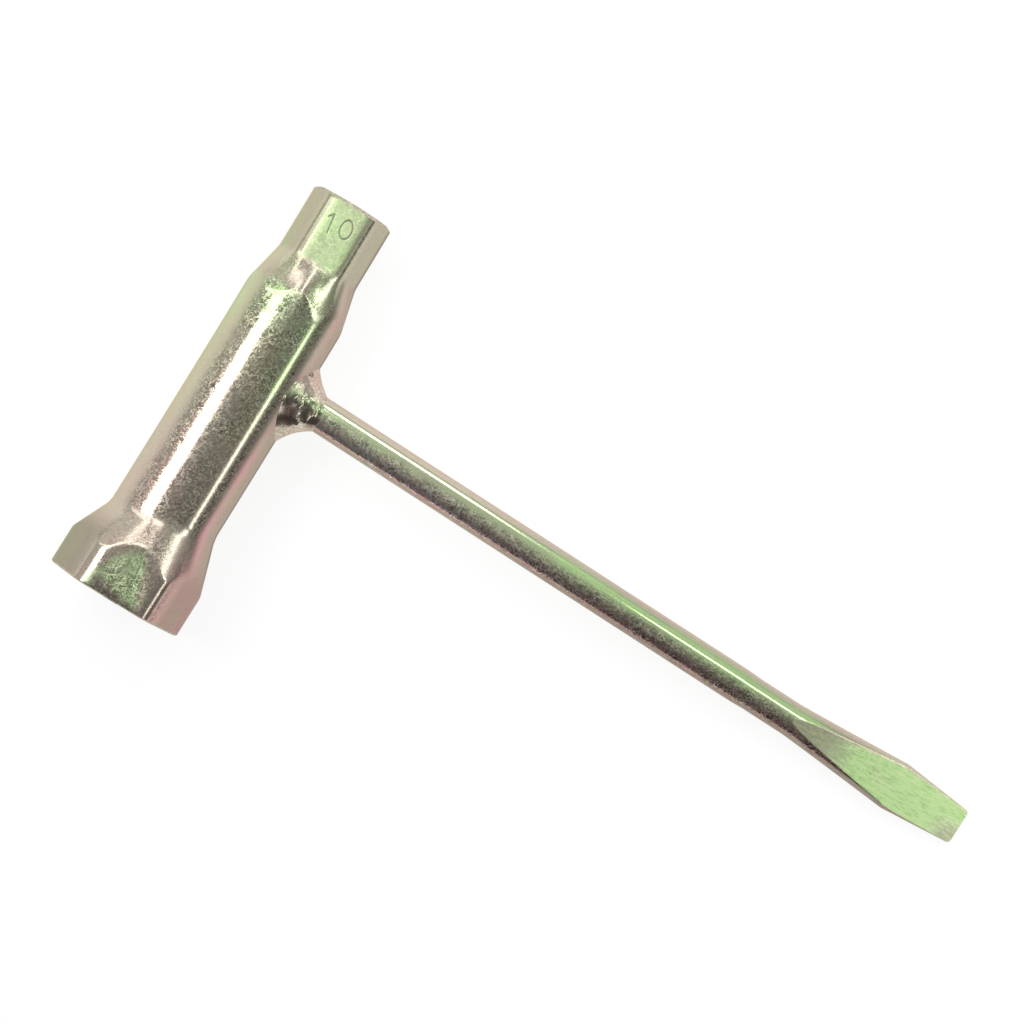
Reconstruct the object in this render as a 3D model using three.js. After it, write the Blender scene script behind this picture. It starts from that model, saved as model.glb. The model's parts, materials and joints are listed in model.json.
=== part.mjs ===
// A T-wrench of the kind that comes with small petrol engines. A steel tube is swaged to a hexagon
// socket at each end, and a round bar is welded square to its side and forged to a screwdriver blade.
// Millimetres and degrees. The tool lies at rest on z = 0, on the rims of both sockets and on its bar.
// It is drawn with the tube along Y, the small socket towards +Y, and the bar along +X.

import * as THREE from 'three';

// Tube
const tubeDiameter = 19;
const tubeWall = 2;
const tubeLength = 80;

// Large socket, at the -Y end
const largeNut = 19;
const largeSocketWall = 1.95;
const largeEdgeRadius = 4;
const largeHexLength = 5.3;
const largeFlareLength = 12;
const largeCornerRelief = 0.1;
const flareSoftness = 0.8;
const flareSkew = 2;

// Small socket, at the +Y end
const smallNut = 10;
const smallSocketWall = 2.2;
const smallEdgeRadius = 4;
const smallHexLength = 12.6;
const smallShoulderLength = 9;
const smallCornerRelief = 1;

// Both sockets
const nutClearance = 0.2;
const innerEdgeRadius = 0.3;
const rimBreak = 0.3;
const chamferAngle = 30;
const leadIn = 0.25;

// Bar and blade
const barDiameter = 6.4;
const barReach = 147.2;
const barStation = 46.4;
const barLean = 1.3;
const neckDiameter = 6.15;
const neckLength = 11;
const neckBlend = 3;
const bladeLength = 35.2;
const bladeWidth = 9.1;
const bladeShoulder = 13.4;
const bladeSweep = 1.1;
const tipWidth = 6.6;
const tipThickness = 1.2;
const tipCornerRadius = 0.6;

// Weld bead, wider on the side of the large socket
const weldLegLarge = 6;
const weldLegSmall = 3.6;
const weldHeightLarge = 5.2;
const weldHeightSmall = 3.7;
const weldHollow = 0.55;
const weldRipples = 9;
const weldRippleSize = 0.12;

// Space left between the bead and what it joins, and between the bar and the tube
const seatGap = 0.3;

// How finely the skins are stepped
const sectorSteps = 12;
const flareSteps = 9;
const shoulderSteps = 7;
const barSideSteps = 10;
const barFlatSteps = 6;
const bladeSteps = 7;
const tipSteps = 3;
const beadTurns = 54;
const beadSteps = 5;
const restPasses = 12;

const tubeRadius = tubeDiameter / 2;
const lean = THREE.MathUtils.degToRad(barLean);
const up = new THREE.Vector3(0, 0, 1);
const { lerp, clamp } = THREE.MathUtils;

// The outside and the inside of the tube's wall
const outside = {
  round: tubeRadius,
  largeHalfFlat: (largeNut + nutClearance) / 2 + largeSocketWall,
  largeEdge: largeEdgeRadius,
  smallHalfFlat: (smallNut + nutClearance) / 2 + smallSocketWall,
  smallEdge: smallEdgeRadius,
};
const inside = {
  round: tubeRadius - tubeWall,
  largeHalfFlat: (largeNut + nutClearance) / 2,
  largeEdge: innerEdgeRadius,
  smallHalfFlat: (smallNut + nutClearance) / 2,
  smallEdge: innerEdgeRadius,
};

// 0 to 1 in a straight line with a rounded start and end
function easedRamp(value) {
  const ease = 0.2;
  const t = clamp(value, 0, 1);
  const bend = (x) => (x * x) / (2 * ease * (1 - ease));
  if (t < ease) return bend(t);
  if (t > 1 - ease) return 1 - bend(1 - t);
  return (t - ease / 2) / (1 - ease);
}

// The smaller of two radii, with the crease between them rounded
function softMin(a, b, softness) {
  const near = Math.max(softness - Math.abs(a - b), 0) / softness;
  return Math.min(a, b) - (near * near * softness) / 4;
}

// Radius of a hexagon with rounded edges, by the angle from the middle of the nearest flat
function hexRadius(halfFlat, edgeRadius, angle) {
  const sixth = Math.PI / 6;
  const tangent = Math.atan(((halfFlat - edgeRadius) * Math.tan(sixth)) / halfFlat);
  if (Math.abs(angle) <= tangent) return halfFlat / Math.cos(angle);
  const toEdge = sixth - Math.abs(angle);
  const centre = (halfFlat - edgeRadius) / Math.cos(sixth);
  const across = centre * Math.sin(toEdge);
  return centre * Math.cos(toEdge) + Math.sqrt(edgeRadius ** 2 - across ** 2);
}

// Radius of one side of the tube's wall. The large end is a hexagon cut by a round flare, which
// reaches further on the bar's side, and the small end is a hexagon that swells evenly into the tube.
function wallRadius(wall, fromLarge, angle, turn) {
  const fromSmall = tubeLength - fromLarge;
  if (fromSmall <= smallHexLength + smallShoulderLength) {
    const hex = hexRadius(wall.smallHalfFlat, wall.smallEdge, angle);
    return lerp(hex, wall.round, easedRamp((fromSmall - smallHexLength) / smallShoulderLength));
  }
  const hex = hexRadius(wall.largeHalfFlat, wall.largeEdge, angle);
  const crest = hexRadius(wall.largeHalfFlat, wall.largeEdge, Math.PI / 6) + flareSoftness;
  const flareLength = largeFlareLength + flareSkew * Math.cos(turn);
  const flare = lerp(crest, wall.round, easedRamp((fromLarge - largeHexLength) / flareLength));
  return softMin(hex, flare, flareSoftness);
}

// A ring round the tube's axis. Its points crowd towards the six edges, one of which faces the bar.
function tubeRing(radiusAt, fromLargeAt) {
  const ring = [];
  for (let flat = 0; flat < 6; flat += 1) {
    for (let step = 0; step < sectorSteps; step += 1) {
      const share = (2 * step) / sectorSteps - 1;
      const angle = Math.sin((share * Math.PI) / 2) * (Math.PI / 6);
      const turn = (flat + 0.5) * (Math.PI / 3) + angle;
      const radius = radiusAt(angle, turn);
      const y = fromLargeAt(angle) - barStation;
      ring.push(new THREE.Vector3(radius * Math.cos(turn), y, radius * Math.sin(turn)));
    }
  }
  return ring;
}

// Rings along the whole of one side of the wall, between its two mouths
function wallRings(wall) {
  const stations = [];
  const longestFlare = largeFlareLength + flareSkew;
  for (let step = 0; step <= flareSteps; step += 1) {
    stations.push(largeHexLength + (longestFlare * step) / flareSteps);
  }
  const shoulderStart = tubeLength - smallHexLength - smallShoulderLength;
  for (let step = 0; step <= shoulderSteps; step += 1) {
    stations.push(shoulderStart + (smallShoulderLength * step) / shoulderSteps);
  }
  return stations.map((station) => {
    const radiusAt = (angle, turn) => wallRadius(wall, station, angle, turn);
    return tubeRing(radiusAt, () => station);
  });
}

// A socket's rim, from outside to inside: the chamfer, which is deeper at the edges of the hexagon
// than at its flats, the flat mouth and the lead-in for the nut
function rimRings(station, inwards, cornerRelief, outer, inner) {
  const slope = Math.tan(THREE.MathUtils.degToRad(chamferAngle));
  const outerAt = (angle) => hexRadius(outer.halfFlat, outer.edge, angle);
  const innerAt = (angle) => hexRadius(inner.halfFlat, inner.edge, angle);
  const edgeRise = outerAt(Math.PI / 6) - outer.halfFlat;
  const cutAt = (angle) => rimBreak + (cornerRelief * (outerAt(angle) - outer.halfFlat)) / edgeRise;
  return [
    tubeRing(outerAt, (angle) => station + inwards * slope * cutAt(angle)),
    tubeRing((angle) => outerAt(angle) - cutAt(angle), () => station),
    tubeRing((angle) => innerAt(angle) + leadIn, () => station),
    tubeRing(innerAt, () => station + inwards * leadIn),
  ];
}

// Joins rings with equal numbers of points into one closed skin whose faces point outwards
function skin(rings, capped) {
  const count = rings[0].length;
  const points = rings.flat();
  const triangles = [];
  const bands = capped ? rings.length - 1 : rings.length;
  for (let band = 0; band < bands; band += 1) {
    const here = band * count;
    const there = ((band + 1) % rings.length) * count;
    for (let step = 0; step < count; step += 1) {
      const next = (step + 1) % count;
      triangles.push(here + step, here + next, there + next);
      triangles.push(here + step, there + next, there + step);
    }
  }
  if (capped) {
    const last = (rings.length - 1) * count;
    const ends = [rings[0], rings[rings.length - 1]];
    const [first, final] = ends.map((ring) => {
      const centre = new THREE.Vector3();
      ring.forEach((point) => centre.addScaledVector(point, 1 / count));
      return points.push(centre) - 1;
    });
    for (let step = 0; step < count; step += 1) {
      const next = (step + 1) % count;
      triangles.push(first, next, step);
      triangles.push(final, last + step, last + next);
    }
  }
  let volume = 0;
  for (let corner = 0; corner < triangles.length; corner += 3) {
    const [a, b, c] = triangles.slice(corner, corner + 3).map((index) => points[index]);
    volume += a.dot(b.clone().cross(c));
  }
  if (volume < 0) triangles.reverse();
  const geometry = new THREE.BufferGeometry().setFromPoints(points);
  geometry.setIndex(triangles);
  geometry.computeVertexNormals();
  return geometry;
}

function socketTubeGeometry() {
  const large = rimRings(
    0,
    1,
    largeCornerRelief,
    { halfFlat: outside.largeHalfFlat, edge: outside.largeEdge },
    { halfFlat: inside.largeHalfFlat, edge: inside.largeEdge },
  );
  const small = rimRings(
    tubeLength,
    -1,
    smallCornerRelief,
    { halfFlat: outside.smallHalfFlat, edge: outside.smallEdge },
    { halfFlat: inside.smallHalfFlat, edge: inside.smallEdge },
  );
  return skin([...wallRings(outside), ...small, ...wallRings(inside).reverse(), ...large.reverse()], false);
}

// Half the width of the bar, the half thickness of its round form and that between its ground flats,
// by the distance from the tube's axis
function barSection(along) {
  const bladeStart = barReach - bladeLength;
  const neckStart = bladeStart - neckLength;
  const necked = easedRamp((along - neckStart) / neckBlend);
  const round = lerp(barDiameter, neckDiameter, necked) / 2;
  const ground = clamp((along - bladeStart) / bladeLength, 0, 1);
  const halfFlat = ground > 0 ? lerp(round, tipThickness / 2, ground) : round;
  const widening = clamp((along - bladeStart) / (bladeLength - bladeShoulder), 0, 1) ** bladeSweep;
  const narrowing = clamp((along - barReach + bladeShoulder) / bladeShoulder, 0, 1);
  const halfWidth = lerp(lerp(round, bladeWidth / 2, widening), tipWidth / 2, narrowing);
  return { round, halfFlat, halfWidth };
}

// A ring round the bar: two rounded sides, and two tops that are flat where the blade is ground
function barRing(along, trim = 0) {
  const { round, halfFlat, halfWidth } = barSection(along);
  const steepest = THREE.MathUtils.degToRad(80);
  const crest = Math.min(Math.asin(halfFlat / round), steepest);
  const ring = [];
  const addArc = (start, end, steps) => {
    for (let step = 0; step < steps; step += 1) {
      const turn = lerp(start, end, step / steps);
      const y = (halfWidth - trim) * Math.cos(turn);
      const z = clamp(round * Math.sin(turn), -halfFlat, halfFlat);
      ring.push(new THREE.Vector3(along, y, z));
    }
  };
  addArc(-crest, crest, barSideSteps);
  addArc(crest, Math.PI - crest, barFlatSteps);
  addArc(Math.PI - crest, Math.PI + crest, barSideSteps);
  addArc(Math.PI + crest, 2 * Math.PI - crest, barFlatSteps);
  return ring;
}

function screwdriverBarGeometry() {
  const bladeStart = barReach - bladeLength;
  const neckStart = bladeStart - neckLength;
  const shoulder = barReach - bladeShoulder;
  const cornerStart = barReach - tipCornerRadius;
  const rings = [barRing(tubeRadius + seatGap), barRing(neckStart), barRing(neckStart + neckBlend / 2)];
  rings.push(barRing(neckStart + neckBlend), barRing(bladeStart));
  for (let step = 1; step <= bladeSteps; step += 1) {
    rings.push(barRing(lerp(bladeStart, shoulder, step / bladeSteps)));
  }
  for (let step = 1; step <= tipSteps; step += 1) {
    rings.push(barRing(lerp(shoulder, cornerStart, step / tipSteps)));
  }
  for (let step = 1; step <= tipSteps; step += 1) {
    const turn = ((Math.PI / 2) * step) / tipSteps;
    const along = cornerStart + tipCornerRadius * Math.sin(turn);
    rings.push(barRing(along, tipCornerRadius * (1 - Math.cos(turn))));
  }
  return skin(rings, true);
}

// A point beside the leaning bar. Turn 0 faces the small socket.
function besideBar(along, distance, turn) {
  const direction = new THREE.Vector3(Math.cos(lean), -Math.sin(lean), 0);
  const side = new THREE.Vector3(Math.sin(lean), Math.cos(lean), 0);
  return direction
    .multiplyScalar(along)
    .addScaledVector(side, distance * Math.cos(turn))
    .addScaledVector(up, distance * Math.sin(turn));
}

// The point beside the bar that lies on the bead's seat on the tube
function barMeetsTube(distance, turn) {
  const seat = tubeRadius + seatGap;
  const reach = Math.sqrt(seat ** 2 - (distance * Math.sin(turn)) ** 2);
  const along = (reach - distance * Math.cos(turn) * Math.sin(lean)) / Math.cos(lean);
  return besideBar(along, distance, turn);
}

// A point on the bead's seat, at a distance from the bar's axis measured round the tube
function onTube(distance, turn) {
  const seat = tubeRadius + seatGap;
  const around = (distance * Math.sin(turn)) / seat;
  const y = distance * Math.cos(turn) - seat * Math.tan(lean);
  return new THREE.Vector3(seat * Math.cos(around), y, seat * Math.sin(around));
}

// The bead's profile at one turn: under it from the bar to its toe on the tube, then over it
// along a hollow fillet to its toe on the bar
function beadProfile(turn) {
  const towardsLarge = ((1 - Math.cos(turn)) / 2) ** 2;
  const ripple = weldRippleSize * Math.cos(weldRipples * turn);
  const leg = lerp(weldLegSmall, weldLegLarge, towardsLarge) + ripple;
  const height = lerp(weldHeightSmall, weldHeightLarge, towardsLarge) + ripple;
  const hole = barDiameter / 2 + seatGap;
  const root = barMeetsTube(hole, turn);
  const toe = onTube(hole + leg, turn);
  const crown = besideBar(tubeRadius + height, hole, turn);
  const pull = toe.clone().lerp(crown, 0.5).lerp(root, weldHollow);
  const fillet = new THREE.QuadraticBezierCurve3(toe, pull, crown);
  return [root, onTube(hole + leg / 3, turn), onTube(hole + (2 * leg) / 3, turn), ...fillet.getPoints(beadSteps)];
}

function weldBeadGeometry() {
  const profiles = [];
  for (let step = 0; step < beadTurns; step += 1) {
    profiles.push(beadProfile((2 * Math.PI * step) / beadTurns));
  }
  return skin(profiles, false);
}

function piece(name, geometry, finish) {
  const mesh = new THREE.Mesh(geometry, new THREE.MeshStandardMaterial(finish));
  mesh.name = name;
  return mesh;
}

// The points of a mesh in the tool's own axes
function toolPoints(mesh, keep) {
  const places = mesh.geometry.getAttribute('position');
  const points = [];
  for (let index = 0; index < places.count; index += 1) {
    const point = new THREE.Vector3().fromBufferAttribute(places, index).applyEuler(mesh.rotation);
    if (keep(point)) points.push(point);
  }
  return points;
}

// The turn that brings the lowest point of each of three feet to one level
function restTurn(feet) {
  const turn = new THREE.Quaternion();
  for (let pass = 0; pass < restPasses; pass += 1) {
    const [a, b, c] = feet.map((points) => {
      const turned = points.map((point) => point.clone().applyQuaternion(turn));
      return turned.reduce((low, point) => (point.z < low.z ? point : low));
    });
    const normal = b.clone().sub(a).cross(c.clone().sub(a)).normalize();
    if (normal.z < 0) normal.negate();
    turn.premultiply(new THREE.Quaternion().setFromUnitVectors(normal, up));
  }
  return turn;
}

const platedTube = { color: 0x9b9a80, metalness: 0.9, roughness: 0.34 };
const platedBar = { color: 0x98a07c, metalness: 0.9, roughness: 0.32 };
const platedWeld = { color: 0x7c7a62, metalness: 0.9, roughness: 0.42 };

const socketTube = piece('socket_tube', socketTubeGeometry(), platedTube);
const screwdriverBar = piece('screwdriver_bar', screwdriverBarGeometry(), platedBar);
screwdriverBar.rotation.z = -lean;
const weldBead = piece('weld_bead', weldBeadGeometry(), platedWeld);

const tool = new THREE.Group();
tool.add(socketTube, screwdriverBar, weldBead);
const feet = [
  toolPoints(socketTube, (point) => point.y < 0),
  toolPoints(socketTube, (point) => point.y > 0),
  toolPoints(screwdriverBar, () => true),
];
tool.quaternion.copy(restTurn(feet));

// The origin is under the middle of the tool's box
const box = new THREE.Box3().setFromObject(tool, true);
const middle = box.getCenter(new THREE.Vector3());
tool.position.set(-middle.x, -middle.y, -box.min.z);

const wrench = new THREE.Group();
wrench.name = 't_wrench';
wrench.add(tool);

export default wrench;
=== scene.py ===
"""A plated T-wrench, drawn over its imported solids.

The tube, the bar and the weld are drawn in millimetres in the tool's own axes: the tube along Y with
the small socket towards +Y, the bar along +X, and Z towards the faces that carry the stamped sizes.
tool_to_row then lays them where the solids lie.
"""

import json
import math

import bpy
import numpy as np
from mathutils import Matrix, Vector


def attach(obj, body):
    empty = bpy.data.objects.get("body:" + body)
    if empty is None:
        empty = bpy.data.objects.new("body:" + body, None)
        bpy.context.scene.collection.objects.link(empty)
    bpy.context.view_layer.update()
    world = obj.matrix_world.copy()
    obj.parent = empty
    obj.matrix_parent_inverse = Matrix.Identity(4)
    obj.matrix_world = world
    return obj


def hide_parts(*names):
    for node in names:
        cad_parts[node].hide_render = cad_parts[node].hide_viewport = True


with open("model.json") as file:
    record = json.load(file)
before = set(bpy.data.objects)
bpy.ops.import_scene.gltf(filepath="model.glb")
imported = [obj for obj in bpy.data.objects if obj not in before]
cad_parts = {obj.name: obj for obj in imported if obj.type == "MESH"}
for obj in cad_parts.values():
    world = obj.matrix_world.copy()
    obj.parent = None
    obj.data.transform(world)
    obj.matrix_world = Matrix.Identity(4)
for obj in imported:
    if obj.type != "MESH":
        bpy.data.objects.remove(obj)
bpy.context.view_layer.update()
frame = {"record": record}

MM = 0.001

# Tube
TUBE_RADIUS = 9.5
TUBE_WALL = 2.0
TUBE_LENGTH = 80.0
BAR_STATION = 46.4
TUBE_BOW = 0.2

# Large socket
LARGE_INNER = 9.6
LARGE_OUTER = 11.55
LARGE_EDGE = 4.0
LARGE_HEX_LENGTH = 5.3
LARGE_FLARE_LENGTH = 12.0
LARGE_CORNER_RELIEF = 0.1
FLARE_SKEW = 2.0
FLARE_RISE = 0.4
FLARE_SOFTNESS = 0.18
RIM_ROLL_LENGTH = 2.0
RIM_ROLL_DROP = 0.2

# Small socket
SMALL_INNER = 5.1
SMALL_OUTER = 7.3
SMALL_EDGE = 4.0
SMALL_SHARP_EDGE = 3.2
SMALL_BLUNT_EDGE = 5.2
SMALL_HEX_LENGTH = 11.6
SMALL_SHOULDER_ON_FLATS = 6.4
SMALL_SHOULDER_ON_EDGES = 9.6
SMALL_CORNER_RELIEF = 1.0
SHOULDER_START_ROUND = 0.15
SHOULDER_END_ROUND_ON_FLATS = 0.06
SHOULDER_END_ROUND_ON_EDGES = 0.2

# Both sockets
INNER_EDGE = 0.3
RIM_BREAK = 0.3
RIM_ROUND = 0.08
RIM_ROUND_LIMIT = 0.4
CHAMFER_SLOPE = math.tan(math.radians(30))
LEAD_IN = 0.25

# Bar and blade
BAR_DIAMETER = 6.4
BAR_REACH = 147.2
BAR_LEAN = math.radians(1.3)
BAR_ROOT = 8.6
NECK_DIAMETER = 6.15
NECK_LENGTH = 11.0
NECK_BLEND = 3.0
BLADE_LENGTH = 35.2
BLADE_WIDTH = 9.1
BLADE_SHOULDER = 13.4
BLADE_SWEEP = 1.1
TIP_WIDTH = 6.6
TIP_THICKNESS = 1.2
TIP_CORNER = 0.6
GROUND_START = 0.2

# Weld
WELD_LEG_LARGE = 6.0
WELD_LEG_SMALL = 4.1
WELD_HEIGHT_LARGE = 5.2
WELD_HEIGHT_SMALL = 4.2
WELD_HOLLOW_LARGE = 0.31
WELD_HOLLOW_SMALL = 0.19
WELD_LOBES = 0.35
WELD_GRAIN = 0.03
WELD_SUNK = 0.2
WELD_ROOT_DEPTH = 1.0
WELD_ROOT_INSET = 0.9
WELD_BACK_SHARE = 0.6

# Stamped sizes
STAMP_WIDTH = 0.3
STAMP_LIP = 0.004
STAMP_STROKE_DARKENING = 0.42
STAMP_STROKE_TINT = 0.1
STAMP_MARK_FILM = 0.08

# Fineness of the meshes
STAMPED_FLAT_STEPS = 110
PLAIN_FLAT_STEPS = 30
FIRST_STATION = 0.4
LAST_STATION = TUBE_LENGTH - 0.7
INNER_STATION_STRIDE = 4
BAR_STATIONS = 90
BAR_SIDE_STEPS = 36
BAR_FLAT_STEPS = 30
BAR_CREST_LIMIT = math.radians(80)
TIP_CORNER_STEPS = 8
WELD_TURN_STEPS = 320
WELD_RISE_STEPS = 90

# Camera, fitted to the photograph's outline
PICTURE_PIXELS = 1024
FOCAL_PIXELS = 4000
SENSOR = 36.0
CAMERA_DISTANCE = 705.7
CAMERA_AIM = (-15.72, 8.19)
CAMERA_SLANT = (-0.02204, -0.02674)
CAMERA_ROLL = math.radians(30.66)

# Floor, room and lamps
FLOOR_REACH = 4.0
FLOOR_GREY = 0.24
FLOOR_GLOW = 0.86
ROOM_LIT_FROM = (-0.51, 0.86, 0.0)
ROOM_LEVEL = 0.39
ROOM_SLOPE = 0.4
ROOM_LEAST = 0.1
LAMP_HEIGHT = 160


# Where the tool lies

mounts = {mount["name"]: mount for mount in frame["record"]["mounts"]}
tube_way = Vector(mounts["small_socket_mouth"]["axis"])
bar_way = Vector(mounts["blade_tip"]["axis"])
top_way = bar_way.cross(tube_way).normalized()
side_way = tube_way.cross(top_way).normalized()
mouth_middle = (LARGE_INNER + LEAD_IN + LARGE_OUTER - RIM_BREAK) / 2
large_mouth = Vector(mounts["large_socket_mouth"]["pos_m"])
tool_origin = large_mouth + (tube_way * BAR_STATION - top_way * mouth_middle) * MM
tool_to_row = Matrix((side_way, tube_way, top_way)).transposed().to_4x4()
tool_to_row.translation = tool_origin


# Shapes

def lerp(start, end, share):
    return start + (end - start) * share


def eased_ramp(value, start=0.2, end=0.2):
    """0 to 1 in a straight line, rounded over a share of its length at the start and the end."""
    t = np.clip(value, 0, 1)
    slope = 1 / (1 - (start + end) / 2)
    middle = slope * (t - start / 2)
    early = slope * t**2 / (2 * start)
    late = 1 - slope * (1 - t) ** 2 / (2 * end)
    return np.where(t < start, early, np.where(t > 1 - end, late, middle))


def smooth_step(low, high, value):
    t = np.clip((value - low) / (high - low), 0, 1)
    return t * t * (3 - 2 * t)


def bump(value, middle, width):
    """1 at the middle, falling off smoothly on both sides."""
    return np.exp(-(((value - middle) / width) ** 2))


def soft_min(a, b, softness):
    """The smaller of two radii, with the crease between them rounded."""
    near = np.maximum(softness - np.abs(a - b), 0) / softness
    return np.minimum(a, b) - near**2 * softness / 4


def hex_radius(half_flat, edge_radius, angle):
    """Radius of a hexagon with rounded edges, by the angle from the middle of the nearest flat."""
    sixth = math.pi / 6
    tangent = np.arctan((half_flat - edge_radius) * math.tan(sixth) / half_flat)
    to_edge = sixth - np.abs(angle)
    centre = (half_flat - edge_radius) / math.cos(sixth)
    across = centre * np.sin(to_edge)
    rounded = centre * np.cos(to_edge) + np.sqrt(np.maximum(edge_radius**2 - across**2, 0))
    return np.where(np.abs(angle) <= tangent, half_flat / np.cos(angle), rounded)


class Wall:
    """One side of the tube's wall."""

    def __init__(self, middle, large, large_edge, small, small_edge):
        self.middle = middle
        self.large = large
        self.large_edge = large_edge
        self.small = small
        self.small_edge = small_edge

    def radius(self, from_large, angle, turn):
        """The large end is a hexagon cut by a round flare, the small one swells evenly into the tube."""
        from_small = TUBE_LENGTH - from_large
        small_hex = hex_radius(self.small, self.small_edge(turn), angle)
        edge_share = smooth_step(0, math.pi / 6, np.abs(angle))
        shoulder_length = lerp(SMALL_SHOULDER_ON_FLATS, SMALL_SHOULDER_ON_EDGES, edge_share)
        shoulder_share = (from_small - SMALL_HEX_LENGTH) / shoulder_length
        end_round = lerp(SHOULDER_END_ROUND_ON_FLATS, SHOULDER_END_ROUND_ON_EDGES, edge_share)
        swell = eased_ramp(shoulder_share, SHOULDER_START_ROUND, end_round)
        large_hex = hex_radius(self.large, self.large_edge, angle)
        crest = hex_radius(self.large, self.large_edge, math.pi / 6) + FLARE_RISE
        flare_length = LARGE_FLARE_LENGTH + FLARE_SKEW * np.cos(turn)
        flare = lerp(crest, self.middle, eased_ramp((from_large - LARGE_HEX_LENGTH) / flare_length))
        large = soft_min(large_hex, flare, FLARE_SOFTNESS)
        small_end = from_small <= SMALL_HEX_LENGTH + SMALL_SHOULDER_ON_EDGES
        return np.where(small_end, lerp(small_hex, self.middle, swell), large)


def small_outer_edge(turn):
    """The small hexagon's two edges in the plane of the bar are rounder than its other four."""
    sideways = np.where(np.cos(turn) > 0, SMALL_BLUNT_EDGE, SMALL_EDGE)
    return np.where(np.abs(np.cos(turn)) > math.cos(math.pi / 6), sideways, SMALL_SHARP_EDGE)


def inner_edge(turn):
    return np.full_like(turn, INNER_EDGE)


outer_wall = Wall(TUBE_RADIUS, LARGE_OUTER, LARGE_EDGE, SMALL_OUTER, small_outer_edge)
inner_wall = Wall(TUBE_RADIUS - TUBE_WALL, LARGE_INNER, INNER_EDGE, SMALL_INNER, inner_edge)


def tube_columns():
    """(turn round the tube, angle from the flat's middle) of each column of points."""
    turns = []
    angles = []
    for flat in range(6):
        stamped = flat == 1
        steps = STAMPED_FLAT_STEPS if stamped else PLAIN_FLAT_STEPS
        share = np.linspace(-1, 1, steps, endpoint=False)
        angle = (share if stamped else np.sin(share * math.pi / 2)) * math.pi / 6
        turns.append((flat + 0.5) * math.pi / 3 + angle)
        angles.append(angle)
    return np.concatenate(turns), np.concatenate(angles)


def stroke_distance(x, y, strokes):
    """Distance of each point to the nearest of the strokes."""
    nearest = np.full(x.shape, np.inf)
    for points in strokes:
        for (ax, ay), (bx, by) in zip(points[:-1], points[1:]):
            dx = bx - ax
            dy = by - ay
            along = np.clip(((x - ax) * dx + (y - ay) * dy) / (dx * dx + dy * dy), 0, 1)
            nearest = np.minimum(nearest, np.hypot(x - ax - along * dx, y - ay - along * dy))
    return nearest


def arc(centre_x, centre_y, half_width, half_height, start, end, steps=24):
    turns = np.radians(np.linspace(start, end, steps + 1))
    return [(centre_x + half_width * math.cos(t), centre_y + half_height * math.sin(t)) for t in turns]


# Digits one unit high about their middle
DIGITS = {
    "0": [arc(0, 0, 0.31, 0.5, 0, 360)],
    "1": [[(-0.2, 0.3), (0.04, 0.5), (0.04, -0.5)]],
    "9": [arc(0, 0.2, 0.27, 0.3, 0, 360), [(0.27, 0.2), *arc(-0.13, -0.1, 0.38, 0.4, 0, -80, 10)]],
}


class Stamp:
    """A size stamped into a flat that faces +Z."""

    def __init__(self, text, middle, height, pitch, turn, depth):
        self.strokes = []
        self.depth = depth
        right = np.array([math.cos(turn), math.sin(turn)])
        up = np.array([-math.sin(turn), math.cos(turn)])
        for place, digit in enumerate(text):
            start = np.array(middle) + right * pitch * (place - (len(text) - 1) / 2)
            for stroke in DIGITS[digit]:
                self.strokes.append([start + (right * x + up * y) * height for x, y in stroke])

    def groove(self, x, y):
        """1 in the middle of a stroke and 0 away from it, and the raised lip beside the strokes."""
        distance = stroke_distance(x, y, self.strokes)
        inside = 1 - smooth_step(0.1 * STAMP_WIDTH, 0.75 * STAMP_WIDTH, distance)
        return inside, bump(distance, STAMP_WIDTH, 0.3 * STAMP_WIDTH)


small_stamp = Stamp(
    "10", middle=(-0.4, 28.85), height=3.4, pitch=3.0, turn=math.radians(8), depth=0.1
)
large_stamp = Stamp(
    "19", middle=(0.3, -40.3), height=3.8, pitch=3.0, turn=math.radians(189), depth=0.02
)


def tube_stations():
    """Distances from the large mouth, closest where the shape bends or carries a stamp."""
    return np.concatenate([
        np.linspace(FIRST_STATION, 3, 14, endpoint=False),
        np.linspace(3, 8.6, 52, endpoint=False),
        np.linspace(8.6, 20, 44, endpoint=False),
        np.linspace(20, 55, 34, endpoint=False),
        np.linspace(55, 72.8, 56, endpoint=False),
        np.linspace(72.8, 77.6, 56, endpoint=False),
        np.linspace(77.6, LAST_STATION, 9),
    ])


def near_corner(corner, other):
    """The ring where a corner's rounding ends on its way to another, at most a share of the way there."""
    length = np.hypot(other[0] - corner[0], other[1] - corner[1])
    share = np.minimum(RIM_ROUND / length, RIM_ROUND_LIMIT)
    return lerp(corner[0], other[0], share), lerp(corner[1], other[1], share)


def rim_profile(station, inwards, corner_relief, wall_outer, edge_outer, wall_inner):
    """Rings of a socket's rim from outside to inside, as (radius, distance from the large mouth)."""
    turns, angles = tube_columns()
    outer = hex_radius(wall_outer, edge_outer, angles)
    inner = hex_radius(wall_inner, INNER_EDGE, angles)
    edge_rise = np.max(outer) - wall_outer
    cut = RIM_BREAK + corner_relief * (outer - wall_outer) / edge_rise
    level = np.zeros_like(turns)
    corners = [
        (outer, level + CHAMFER_SLOPE * cut),
        (outer - cut, level),
        (inner + LEAD_IN, level),
        (inner, level + LEAD_IN),
    ]
    rings = []
    for place, corner in enumerate(corners):
        down_the_wall = corner[1] + 1
        before = corners[place - 1] if place else (outer, down_the_wall)
        after = corners[place + 1] if place + 1 < len(corners) else (inner, down_the_wall)
        first = near_corner(corner, before)
        middle = ((first[0] + corner[0]) / 2, (first[1] + corner[1]) / 2)
        rings += [first, middle, near_corner(corner, after)]
    return [(radius, station + inwards * depth) for radius, depth in rings]


FINISH_FIELDS = ("film", "matte", "shade", "worn", "drawn", "grainy")


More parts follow.
